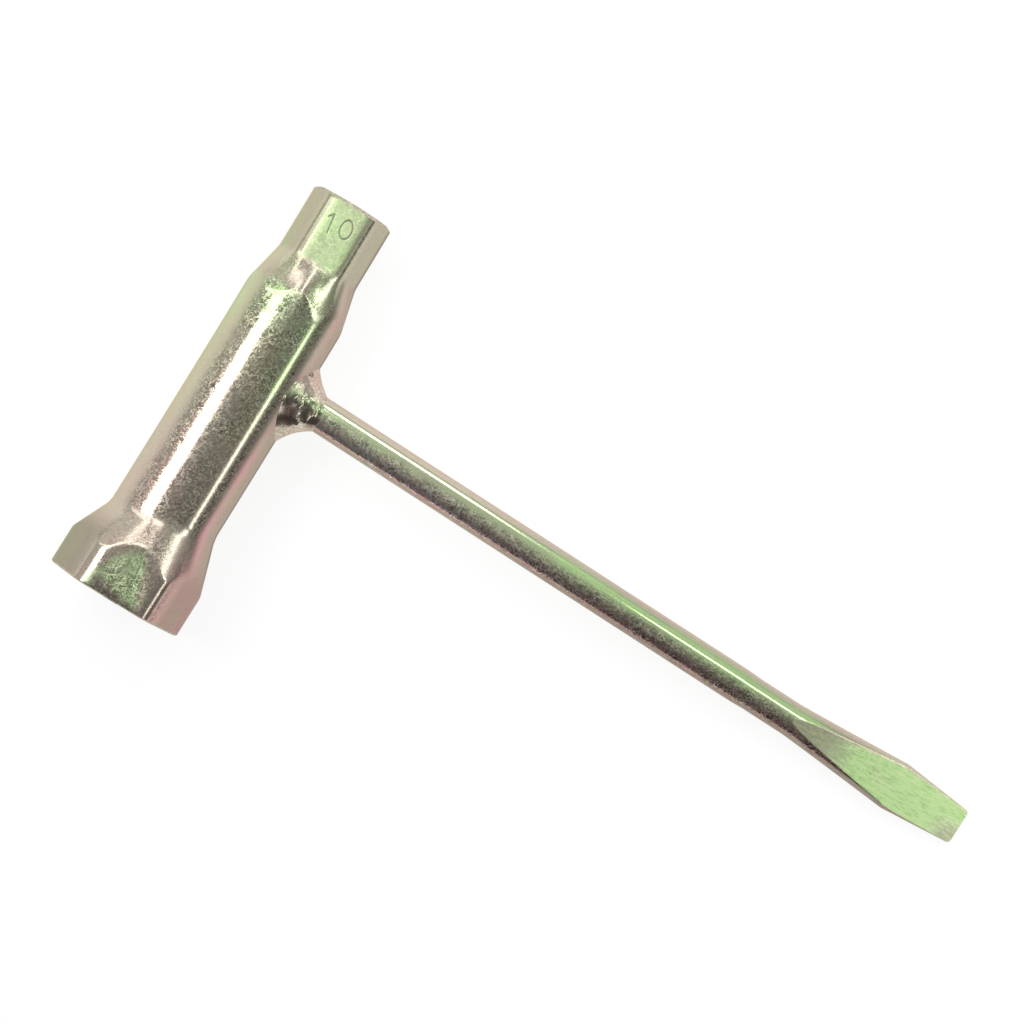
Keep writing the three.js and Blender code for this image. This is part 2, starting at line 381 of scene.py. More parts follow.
def grid_mesh(name, rings, ring_loop, fields):
    """A closed mesh from rings of equal size. fields are values at its points, by name."""
    count, size = rings.shape[:2]
    bands = count if ring_loop else count - 1
    here = np.arange(bands)[:, None] * size + np.arange(size)[None, :]
    there = ((np.arange(bands) + 1) % count)[:, None] * size + np.arange(size)[None, :]
    faces = np.stack([here, np.roll(here, -1, 1), np.roll(there, -1, 1), there], axis=-1).reshape(-1, 4)
    places = rings.reshape(-1, 3)
    points = places * MM @ np.array(tool_to_row.to_3x3()).T + np.array(tool_origin)
    faces = faces.tolist()
    if not ring_loop:
        faces.append(list(range(size))[::-1])
        faces.append([(count - 1) * size + step for step in range(size)])
    mesh = bpy.data.meshes.new(name)
    mesh.from_pydata(points.tolist(), [], faces)
    layer = mesh.attributes.new("place", "FLOAT_VECTOR", "POINT")
    layer.data.foreach_set("vector", places.astype(np.float32).reshape(-1))
    for field, values in fields.items():
        layer = mesh.attributes.new(field, "FLOAT", "POINT")
        layer.data.foreach_set("value", np.asarray(values, np.float32).reshape(-1))
    mesh.update()
    return mesh


def outward(mesh):
    """Turns the faces of a closed mesh outwards if they face inwards."""
    mesh.calc_loop_triangles()
    points = np.array([vertex.co[:] for vertex in mesh.vertices])
    corners = points[[triangle.vertices[:] for triangle in mesh.loop_triangles]]
    volume = np.einsum("ij,ij->", corners[:, 0], np.cross(corners[:, 1], corners[:, 2]))
    if volume < 0:
        mesh.flip_normals()


def add_piece(name, mesh, node, material, sharp_degrees):
    outward(mesh)
    mesh.shade_smooth()
    mesh.set_sharp_from_angle(angle=math.radians(sharp_degrees))
    mesh.materials.append(material)
    piece = bpy.data.objects.new(name, mesh)
    bpy.context.scene.collection.objects.link(piece)
    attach(piece, "root")
    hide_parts(node)


def tube_mesh():
    turns, angles = tube_columns()
    rows = []
    finishes = []

    def add_ring(radius, from_large, outside):
        x = radius * np.cos(turns)
        y = np.broadcast_to(from_large - BAR_STATION, turns.shape)
        z = radius * np.sin(turns)
        film, matte, shade, worn, drawn, grainy = tube_finish(x, y + BAR_STATION, turns, outside)
        if outside:
            facing = np.abs(turns - math.pi / 2) < math.pi / 6
            small_stroke, small_lip = small_stamp.groove(x, y)
            mark, large_lip = large_stamp.groove(x, y)
            z = z - np.where(facing, small_stamp.depth * small_stroke - STAMP_LIP * small_lip, 0)
            z = z - np.where(facing, large_stamp.depth * mark - STAMP_LIP * large_lip, 0)
            # The small size's strokes are set darker and browner, the large size's a little greener
            shade = shade * (1 - STAMP_STROKE_DARKENING * small_stroke * facing)
            film = film - STAMP_STROKE_TINT * small_stroke * facing + STAMP_MARK_FILM * mark * facing
        bow = TUBE_BOW * (1 - (2 * (y + BAR_STATION) / TUBE_LENGTH - 1) ** 2)
        rows.append(np.stack([x + bow, y, z], axis=-1))
        finishes.append(np.stack([film, matte, shade, worn, drawn, grainy]))

    for station in tube_stations():
        add_ring(outer_wall.radius(station, angles, turns) - rim_roll(station, turns), station, True)
    small_edge = small_outer_edge(turns)
    small = rim_profile(TUBE_LENGTH, -1, SMALL_CORNER_RELIEF, SMALL_OUTER, small_edge, SMALL_INNER)
    for radius, from_large in small:
        add_ring(radius, from_large, False)
    for station in tube_stations()[::-INNER_STATION_STRIDE]:
        add_ring(inner_wall.radius(station, angles, turns), station, False)
    large = rim_profile(0, 1, LARGE_CORNER_RELIEF, LARGE_OUTER, LARGE_EDGE, LARGE_INNER)
    for radius, from_large in large[::-1]:
        add_ring(radius - rim_roll(0, turns) * (radius > LARGE_OUTER - RIM_BREAK), from_large, False)
    fields = dict(zip(FINISH_FIELDS, np.stack(finishes, axis=1)))
    return grid_mesh("socket_tube_plated", np.stack(rows), True, fields)


def from_top(turns):
    """Degrees round the tube from its top, positive towards the bar."""
    return (90 - np.degrees(turns) + 180) % 360 - 180


def rim_roll(station, turns):
    """The stamped flat bends down a little towards the large mouth."""
    roll = RIM_ROLL_DROP * np.clip(1 - station / RIM_ROLL_LENGTH, 0, 1) ** 2
    return roll * smooth_step(30, 20, np.abs(from_top(turns)))


# Bands along the tube: degrees from its top, positive towards the bar, and the width they fade over
LEFT_EDGE = (-87, 8)
LEFT_SIDE = (-66, 9)
LEFT_TURN = (-52, 6)
FAR_FRINGE = (-29, 2.6)
BROAD_BAND = (-20, 14)
NEAR_FRINGE = (-12, 2.2)
MIDDLE_BAND = (7, 8)
RIGHT_OF_TOP = (20, 12)
BRIGHT_LINE = (31, 3.6)
LINE_SURROUND = (31, 7)
DARK_BAND = (44, 6)
PINK_SIDE = (52, 9)
LOW_BAND = (68, 7)
SHOULDER_LEFT = (-15, 7)
SHOULDER_TOP = (0, 22)
SHOULDER_RIGHT = (14, 8)
SMALL_RIDGE = (28.5, 3.6)
LARGE_RIDGE = (38, 5)


class TubeRing:
    """The finish of one ring of points outside the tube.

    The regions say how far each point lies in them, from 0 to 1. Station is from the large mouth.
    """

    def __init__(self, x, station, turns):
        self.station = station
        self.side = from_top(turns)
        self.off_top = np.abs(self.side)
        self.small_end = smooth_step(TUBE_LENGTH - 13.0, TUBE_LENGTH - 11.6, station)
        self.barrel = 1 - self.small_end
        self.shoulder = smooth_step(TUBE_LENGTH - 18.6, TUBE_LENGTH - 17.4, station) * self.barrel
        self.large_end = 1 - smooth_step(8, 14, station)
        self.round_part = self.barrel * (1 - self.large_end)
        self.flare = smooth_step(4, 8, station) * smooth_step(18, 15, station)
        self.upper_part = smooth_step(22, 60, station)
        self.front = smooth_step(28, 24, self.off_top)
        self.flank = smooth_step(26, 40, self.off_top)
        self.not_below = smooth_step(125, 100, self.off_top)
        self.top_flat = self.front * self.small_end
        self.right_ridge = self.small_end * self.band(SMALL_RIDGE)
        self.stamped_flat = self.front * (1 - smooth_step(8.5, 11.5, station + 0.012 * self.side**2))
        past_rub = x - 2.4 - 0.3 * (9.8 - station)
        self.rubbed = bump(past_rub, 0, 0.8) * self.stamped_flat
        # Beside the rubbed strip lies a smoother strip, darkened as painted shade
        self.smooth_strip = smooth_step(0.6, 1.2, past_rub) * self.stamped_flat
        # A band along the large mouth on the stamped side: partly browner film, partly painted shade
        mouth = 1 - smooth_step(0.9, 2.4, station + 0.25 * x)
        self.dark_rim = mouth * self.front * smooth_step(-5, -3.5, x)

    def band(self, middle_and_width):
        return bump(self.side, *middle_and_width)

    def past(self, start, end):
        """0 to 1 between two lines along the tube, given in degrees from its top."""
        return smooth_step(start, end, self.side)

    def film(self):
        """Hue of the plating, from 0, pink, through tan to 1, green."""
        green_edge = 0.5 * (1 - 0.8 * smooth_step(40, 62, self.station))
        pink = self.band(PINK_SIDE) * (0.8 + 0.2 * np.sin(0.45 * self.station))
        fringes = self.band(FAR_FRINGE) + self.band(NEAR_FRINGE) * (1 - 0.6 * self.upper_part)
        fringes = fringes * smooth_step(66, 54, self.station) * smooth_step(10, 17, self.station)
        below_shoulder = smooth_step(48, 58, self.station) * (self.barrel - self.shoulder)
        shoulder = 0.2 * self.band(SHOULDER_RIGHT) - 0.2 * self.band(SHOULDER_TOP)
        shoulder = shoulder - 0.16 * self.band(SHOULDER_LEFT) - 0.2 * self.past(-30, -50)
        large_end = 0.08 * self.past(-30, -50) - 0.24 * self.past(30, 44) - 0.12 * self.band(LARGE_RIDGE)

        film = 0.34 + 0.32 * self.upper_part - 0.14 * self.small_end * self.flank
        film = film + green_edge * self.band(LEFT_EDGE) + 0.14 * self.band(LEFT_SIDE)
        film = film - 0.05 * self.band(LEFT_TURN)
        film = film - 0.42 * pink * (1 - 0.8 * self.small_end) * (1 - self.large_end)
        film = film - 0.34 * self.upper_part * self.barrel * self.past(48, 62) * self.not_below
        film = film + 0.1 * self.band(RIGHT_OF_TOP) * self.round_part
        film = film + 0.5 * self.band(BRIGHT_LINE) * bump(self.station, 48, 7)
        film = film - 0.17 * fringes + 0.22 * self.band(BROAD_BAND) * below_shoulder
        film = film + self.shoulder * shoulder + self.large_end * large_end
        film = film + 0.18 * self.top_flat + 0.52 * self.stamped_flat
        return film - 0.42 * self.rubbed - 0.42 * self.smooth_strip - 0.45 * self.dark_rim

    def shade(self):
        """How light the plating is, with 1 for the film's own colour. Most of it is painted light and shade.
        """
        # Painted shade: dark bands along the barrel
        painted_dark_bands = 0.56 * self.band(DARK_BAND) + 0.15 * self.past(50, 60)
        painted_dark_bands = painted_dark_bands + 0.16 * self.band(MIDDLE_BAND) + 0.1 * self.band(LOW_BAND)
        # Painted light along the left edge, painted shade along the right edge
        edges = 0.6 * self.past(-76, -88) - 0.55 * self.past(72, 86)
        # Painted shade and light on the large end's facets and beside its ridge
        large_end = 0.38 * self.past(-33, -39) + 0.12 * self.past(32, 40) + 0.3 * self.band(LARGE_RIDGE)
        large_end = large_end + 0.22 * self.past(42, 54) * self.not_below

        shade = 1 - self.round_part * painted_dark_bands + edges * self.not_below * (1 - self.large_end)
        # Painted shade on the large end and on the small socket's flanks
        shade = shade - self.large_end * large_end - 0.16 * self.small_end * self.flank
        # Painted light on the small socket's top flat, painted shade on its right ridge and on the stamped
        # flat
        shade = shade + 0.14 * self.top_flat - 0.4 * self.right_ridge - 0.08 * self.stamped_flat
        # Painted shade on the mouth's rim and on the smooth strip
        return np.maximum(shade - 0.35 * self.dark_rim - 0.2 * self.smooth_strip, 0.2)

    def matte(self):
        """How much duller than the plain gloss."""
        matte = 1.2 * self.top_flat + 0.6 * smooth_step(36, 48, self.off_top) + 0.6 * self.stamped_flat
        return matte + 0.7 * self.right_ridge + 0.4 * self.rubbed - 0.5 * self.smooth_strip

    def worn(self):
        """How much is scuffed."""
        worn = 0.8 + 0.2 * self.stamped_flat - 0.6 * self.top_flat
        worn = worn - 0.75 * smooth_step(40, 55, self.off_top) - 0.6 * self.band(LINE_SURROUND) * self.barrel
        return worn + 0.8 * self.rubbed - 0.7 * self.smooth_strip

    def drawn(self):
        """How much is streaked along the tube."""
        return self.shoulder * self.front

    def grainy(self):
        """How strongly the speckle and the flecks show."""
        grainy = 0.1 + 0.8 * smooth_step(51, 34, self.off_top)
        grainy = grainy - 0.6 * self.small_end - 0.4 * self.smooth_strip
        grainy = grainy * (1 - 0.6 * self.shoulder * self.past(16, 4))
        grainy = grainy * (1 - 0.5 * self.shoulder * self.past(2, 10))
        grainy = grainy * (1 - self.flare * (0.35 + 0.3 * self.past(-8, -20)))
        grainy = grainy * (1 - 0.8 * (self.large_end + self.small_end) * self.past(-24, -32))
        return np.maximum(grainy * (1 - 0.8 * self.band(LINE_SURROUND) * self.barrel), 0.08)


def tube_finish(x, station, turns, outside):
    """What the tube's finish is like, as the values named in FINISH_FIELDS."""
    if outside:
        ring = TubeRing(x, station, turns)
        return ring.film(), ring.matte(), ring.shade(), ring.worn(), ring.drawn(), ring.grainy()
    even = np.ones_like(turns)
    return 0.5 + 0.1 * np.cos(3 * turns), 0.5 * even, 0.85 * even, 0.3 * even, 0 * even, 0.5 * even


def bar_section(along):
    """Half the round thickness, half the thickness between the flats, and half the width."""
    blade_start = BAR_REACH - BLADE_LENGTH
    necked = eased_ramp((along - blade_start + NECK_LENGTH) / NECK_BLEND)
    half_round = lerp(BAR_DIAMETER, NECK_DIAMETER, necked) / 2
    ground = np.clip((along - blade_start) / BLADE_LENGTH, 0, 1)
    half_flat = lerp(half_round, TIP_THICKNESS / 2, ground)
    widening = np.clip((along - blade_start) / (BLADE_LENGTH - BLADE_SHOULDER), 0, 1) ** BLADE_SWEEP
    narrowing = np.clip((along - BAR_REACH + BLADE_SHOULDER) / BLADE_SHOULDER, 0, 1)
    half_width = lerp(lerp(half_round, BLADE_WIDTH / 2, widening), TIP_WIDTH / 2, narrowing)
    return half_round, half_flat, half_width


# Film round the bar, by degrees from its side towards the small socket, over the top
BAR_FILM = [
    (0, 0.34), (25, 0.32), (39, 0.38), (48, 0.56), (56, 0.78), (75, 0.76), (90, 0.68), (109, 0.34),
    (124, 0.1), (139, 0.08), (150, 0.32), (165, 0.38), (200, 0.4), (250, 0.62), (300, 0.4), (360, 0.3),
]


def bar_finish(along, degrees, ground, across):
    """What the bar's finish is like at one place along it. Its shade is mostly painted light and shade.

    Ground is true on the blade's flats. Across runs over them, 1 at the edge towards the small socket.
    """
    degrees = degrees % 360
    towards_blade = smooth_step(35, 80, along)
    on_blade = np.clip((along - BAR_REACH + BLADE_LENGTH) / BLADE_LENGTH, 0, 1)
    film = np.interp(degrees, *zip(*BAR_FILM)) + 0.28 * towards_blade * bump(degrees, 62, 28)
    # A painted highlight along the flat's edge towards the small socket, also paler in film
    painted_edge_highlight = smooth_step(0.88, 0.97, across) * smooth_step(0.08, 0.2, on_blade)
    tip_corner = smooth_step(0.75, 1.0, on_blade) * smooth_step(0.6, -0.6, across)
    flat_film = 0.66 + 0.36 * smooth_step(0.1, 0.45, on_blade) - 0.4 * painted_edge_highlight - 0.3 * tip_corner
    film = np.where(ground, flat_film, film)
    above_bottom = smooth_step(190, 170, degrees)
    past_top = smooth_step(74, 92, degrees)
    lower = smooth_step(88, 108, degrees) * above_bottom
    # Painted light on the lower side near the weld, painted shade along the lower edge
    shade = 1 + 0.5 * smooth_step(78, 104, degrees) * above_bottom * (1 - towards_blade)
    shade = shade * (1 - 0.5 * smooth_step(128, 143, degrees) * smooth_step(205, 180, degrees))
    # Painted shade on the upper side near the blade, painted light low on the side
    shade = shade * (1 - 0.24 * towards_blade * bump(degrees, 40, 14) + 0.3 * bump(degrees, 122, 9))
    # Painted light and shade near the weld
    near_weld_light_shade = bump(degrees, 82, 14) + bump(degrees, 128, 10) - 1.2 * bump(degrees, 153, 9)
    shade = shade * (1 + 0.16 * (1 - towards_blade) * near_weld_light_shade)
    # Painted light makes the blade's flats lighter away from the root, with a painted highlight along one
    # edge
    shade = np.where(ground, 0.86 + 0.38 * smooth_step(0.1, 0.45, on_blade) + 0.3 * painted_edge_highlight, shade)
    matte = np.where(ground, 1.2, 0.25 * lower)
    worn = np.where(ground, 0.2, 0.2 + 0.1 * lower)
    drawn = np.where(ground, 1.0, 0.15 + 0.85 * past_top * above_bottom)
    grainy = np.where(ground, 0.15, 0.1 + 0.9 * past_top * smooth_step(152, 136, degrees))
    return np.stack([film, matte, shade, worn, drawn, grainy])


def bar_mesh():
    blade_start = BAR_REACH - BLADE_LENGTH
    corner_start = BAR_REACH - TIP_CORNER
    stations = [(along, 0) for along in np.linspace(BAR_ROOT, blade_start, BAR_STATIONS)]
    stations += [(along, 0) for along in np.linspace(blade_start, corner_start, BAR_STATIONS)[1:]]
    for turn in np.radians(np.linspace(0, 90, TIP_CORNER_STEPS + 1)[1:]):
        stations.append((corner_start + TIP_CORNER * math.sin(turn), TIP_CORNER * (1 - math.cos(turn))))
    rows = []
    finishes = []
    for along, trim in stations:
        half_round, half_flat, half_width = bar_section(along)
        crest = min(math.asin(min(half_flat / half_round, 1)), BAR_CREST_LIMIT)
        turns = np.concatenate([
            np.linspace(-crest, crest, BAR_SIDE_STEPS, endpoint=False),
            np.linspace(crest, math.pi - crest, BAR_FLAT_STEPS, endpoint=False),
            np.linspace(math.pi - crest, math.pi + crest, BAR_SIDE_STEPS, endpoint=False),
            np.linspace(math.pi + crest, 2 * math.pi - crest, BAR_FLAT_STEPS, endpoint=False),
        ])
        y = (half_width - trim) * np.cos(turns)
        z = np.clip(half_round * np.sin(turns), -half_flat, half_flat)
        x = np.full_like(turns, along)
        leaning_x = x * math.cos(BAR_LEAN) + y * math.sin(BAR_LEAN)
        leaning_y = y * math.cos(BAR_LEAN) - x * math.sin(BAR_LEAN)
        rows.append(np.stack([leaning_x, leaning_y, z], axis=-1))
        on_flat = np.abs(np.sin(turns)) >= math.sin(crest) - 1e-6
        ground = on_flat & (along > blade_start + GROUND_START)
        across = np.cos(turns) / math.cos(crest)
        finishes.append(bar_finish(along, np.degrees(turns), ground, across))
    fields = dict(zip(FINISH_FIELDS, np.stack(finishes, axis=1)))
    return grid_mesh("screwdriver_bar_plated", np.stack(rows), False, fields)


def beside_bar(along, distance, turn):
    """A point beside the leaning bar. Turn 0 faces the small socket."""
    way = np.array([math.cos(BAR_LEAN), -math.sin(BAR_LEAN), 0])
    side = np.array([math.sin(BAR_LEAN), math.cos(BAR_LEAN), 0])
    return way * along + side * distance * math.cos(turn) + np.array([0, 0, distance * math.sin(turn)])


def on_tube(radius, distance, turn):
    """A point on a circle round the tube's axis, at a distance from the bar measured round the tube."""
    around = distance * math.sin(turn) / radius
    y = distance * math.cos(turn) - radius * math.tan(BAR_LEAN)
    return np.array([radius * math.cos(around), y, radius * math.sin(around)])


# Lumps of the weld: turn and half width in degrees, share of the way up and half width, height
WELD_LUMPS = [
    (82, 15, 0.21, 0.12, 0.55),
    (82, 15, 0.68, 0.12, 0.40),
    (73, 5, 0.21, 0.05, 0.24),
    (83, 5, 0.27, 0.05, 0.26),
    (79, 4, 0.34, 0.04, 0.16),
    (97, 7, 0.08, 0.035, 0.15),
    (88, 7, 0.37, 0.05, 0.20),
    (77, 6, 0.43, 0.05, 0.22),
    (91, 6, 0.46, 0.04, 0.18),
    (83, 6, 0.54, 0.05, 0.18),
    (74, 5, 0.66, 0.10, 0.34),
    (95, 10, 0.78, 0.035, 0.25),
    (107, 12, 0.73, 0.03, 0.20),
    (81, 8, 0.92, 0.05, 0.24),
    (96, 16, 0.965, 0.03, 0.22),
    (120, 8, 0.50, 0.07, 0.30),
    (131, 10, 0.56, 0.09, 0.34),
    (143, 12, 0.61, 0.10, 0.30),
    (41, 4, 0.16, 0.05, -0.3),
]
LAST_UPPER_LUMP = 115
CREST_SHARE = 0.7


def weld_relief(turn, share):
    """How far the weld's lumps stand out from its smooth hollow."""
    ends = np.sin(math.pi * share)
    relief = WELD_LOBES * abs(math.sin(turn)) ** 1.5 * ends
    for lump_turn, half_turn, lump_share, half_share, lump_height in WELD_LUMPS:
        across = bump(math.degrees(turn), lump_turn, half_turn)
        relief = relief + lump_height * across * bump(share, lump_share, half_share)
    return relief + WELD_GRAIN * ends * np.sin(9 * turn + 8 * share) * np.sin(7 * turn - 11 * share + 1)


def painted_crest_glints(degrees, share):
    """1 on the tops of the weld's upper lumps, painted pale: a painted highlight on rubbed plating."""
    crest_glints = np.zeros_like(share)
    for lump_turn, half_turn, lump_share, half_share, lump_height in WELD_LUMPS:
        if lump_height > 0 and lump_turn < LAST_UPPER_LUMP:
            crest = bump(degrees, lump_turn, CREST_SHARE * half_turn)
            crest = crest * bump(share, lump_share, CREST_SHARE * half_share)
            crest_glints = np.maximum(crest_glints, crest)
    return crest_glints


def weld_finish(degrees, share):
    """What the weld's finish is like at one turn round the bar, by the share of the way up. Its shade is
    painted: darker hollows and pit, a lighter wedge and lighter lump tops.
    """
    # Painted shade in the hollows below the lobes
    shaded_hollows = bump(degrees, 117, 24) * bump(share, 0.32, 0.17)
    shaded_hollows = shaded_hollows + bump(degrees, 132, 16) * bump(share, 0.86, 0.1)
    # Painted shade in the pit
    shaded_pit = bump(degrees, 41, 5) * bump(share, 0.16, 0.06)
    # Painted light on a wedge of the weld's upper side
    lit_wedge = bump(degrees, 60, 10)
    crest_glints = painted_crest_glints(degrees, share)
    even = np.ones_like(share)
    film = 0.34 + 0.46 * bump(degrees, 82, 16) - 0.14 * bump(degrees, 35, 20) - 0.2 * shaded_hollows
    # Painted shade in the hollows and the pit, painted light on the lump tops and the wedge
    shade = 0.95 - 0.55 * shaded_hollows - 0.6 * shaded_pit + 0.55 * crest_glints + 0.3 * lit_wedge
    matte = 0.4 * shaded_hollows + 0.55 * crest_glints + 0.3 * lit_wedge
    return np.stack([film, matte, shade, 0.2 * even, 0 * even, 0.5 * even])


def weld_mesh():
    rows = []
    finishes = []
    for turn in np.linspace(0, 2 * math.pi, WELD_TURN_STEPS, endpoint=False):
        towards_large = ((1 - math.cos(turn)) / 2) ** 2
        leg = lerp(WELD_LEG_SMALL, WELD_LEG_LARGE, towards_large)
        off_small = 1 - ((1 + math.cos(turn)) / 2) ** 2
        height = lerp(WELD_HEIGHT_SMALL, WELD_HEIGHT_LARGE, off_small)
        hole = BAR_DIAMETER / 2
        root = beside_bar(TUBE_RADIUS - WELD_ROOT_DEPTH, hole - WELD_ROOT_INSET, turn)
        toe = on_tube(TUBE_RADIUS - WELD_SUNK, hole + leg, turn)
        crown = beside_bar(TUBE_RADIUS + height, hole - WELD_SUNK, turn)
        hollow = lerp(WELD_HOLLOW_SMALL, WELD_HOLLOW_LARGE, towards_large)
        bend = lerp(lerp(toe, crown, 0.5), root, hollow)
        share = np.linspace(0, 1, WELD_RISE_STEPS)
        rise = share[:, None]
        fillet = toe * (1 - rise) ** 2 + 2 * bend * rise * (1 - rise) + crown * rise**2
        outwards = lerp(toe, crown, 0.5) - root
        outwards /= np.linalg.norm(outwards)
        fillet = fillet + outwards * weld_relief(turn, share)[:, None]
        inner_toe = on_tube(TUBE_RADIUS - WELD_ROOT_DEPTH, hole + leg * WELD_BACK_SHARE, turn)
        inner_crown_at = TUBE_RADIUS + height * WELD_BACK_SHARE
        inner_crown = beside_bar(inner_crown_at, hole - WELD_ROOT_INSET, turn)
        rows.append(np.concatenate([[root, inner_toe], fillet, [inner_crown]]))
        height_share = np.concatenate([[0, 0], share, [1]])
        finishes.append(weld_finish(math.degrees(turn), height_share))
    fields = dict(zip(FINISH_FIELDS, np.stack(finishes, axis=1)))
    return grid_mesh("weld_bead_plated", np.stack(rows), True, fields)


# Finish

def node(tree, kind, inputs=None, **settings):
    """A new shader node. Each input is a value, or the output that is linked to it."""
    made = tree.nodes.new(kind)
    for key, value in settings.items():
        setattr(made, key, value)
    for key, value in (inputs or {}).items():
        if isinstance(value, bpy.types.NodeSocket):
            tree.links.new(value, made.inputs[key])
        else:
            made.inputs[key].default_value = value
    return made


def ramp(tree, value, stops):
    """The colours of a ramp at a value. Stops are (place, colour) or (place, grey)."""
    made = node(tree, "ShaderNodeValToRGB", {"Fac": value})
    elements = made.color_ramp.elements
    while len(elements) < len(stops):
        elements.new(0.5)
    for element, (place, colour) in zip(elements, stops):
        element.position = place
        grey = isinstance(colour, (int, float))
        element.color = (colour, colour, colour, 1) if grey else (*colour, 1)
    return made.outputs["Color"]


def calc(tree, operation, a, b=0.5, c=0.5, clamp=False):
    made = node(tree, "ShaderNodeMath", {0: a, 1: b, 2: c}, operation=operation, use_clamp=clamp)
    return made.outputs["Value"]


def noise(tree, place, scale, detail=3.0, roughness=0.55, distortion=0.0):
    inputs = {"Vector": place, "Scale": scale, "Detail": detail, "Roughness": roughness}
    inputs["Distortion"] = distortion
    return node(tree, "ShaderNodeTexNoise", inputs).outputs["Fac"]


def mix_colour(tree, share, a, b, blend="MIX"):
    made = node(tree, "ShaderNodeMix", {"Factor": share, "A": a, "B": b}, data_type="RGBA", blend_type=blend)
    return made.outputs["Result"]


# Colours of the film, from pink through tan to green
FILM_STOPS = [
    (0.0, (0.75, 0.45, 0.44)),
    (0.12, (0.68, 0.47, 0.41)),
    (0.26, (0.63, 0.51, 0.42)),
    (0.42, (0.60, 0.54, 0.43)),
    (0.58, (0.60, 0.57, 0.40)),
    (0.74, (0.56, 0.62, 0.40)),
    (0.88, (0.59, 0.73, 0.41)),
    (1.0, (0.59, 0.84, 0.39)),
]


def field(tree, name):
    return node(tree, "ShaderNodeAttribute", attribute_name=name).outputs["Fac"]


def around_zero(tree, value, amount):
    """A noise shifted to lie evenly about zero, times an amount."""
    return calc(tree, "MULTIPLY", calc(tree, "SUBTRACT", value, 0.5), amount)


def scratch_marks(tree, place, turn, length, width, level):
    """Short straight scratches, all turned the same way in the tool's plan. A high level makes them few."""
    inputs = {"Vector": place, "Rotation": (0, 0, turn), "Scale": (length, width, 0.7)}
    turned = node(tree, "ShaderNodeMapping", inputs, vector_type="TEXTURE").outputs["Vector"]
    return ramp(tree, noise(tree, turned, 1.0, 2, 0.5), [(level, 0.0), (level + 0.14, 1.0)])


def crossed_marks(tree, place, turns, length, width, level):
    """Scratches turned several ways, one over another."""
    marks = scratch_marks(tree, place, turns[0], length, width, level)
    for turn in turns[1:]:
        marks = calc(tree, "MAXIMUM", marks, scratch_marks(tree, place, turn, length, width, level))
    return marks


# Marks in the plating: their turns, their length and width in millimetres, and the level
FLECKS = ((0.5, -0.6, 1.5), 0.9, 0.25, 0.53)
SCRATCHES = ((0.3, 1.2), 1.7, 0.2, 0.58)
SCUFF_COLOUR = (0.75, 0.74, 0.62, 1)
SPECULAR_TINT = (0.85, 0.76, 0.7, 1)


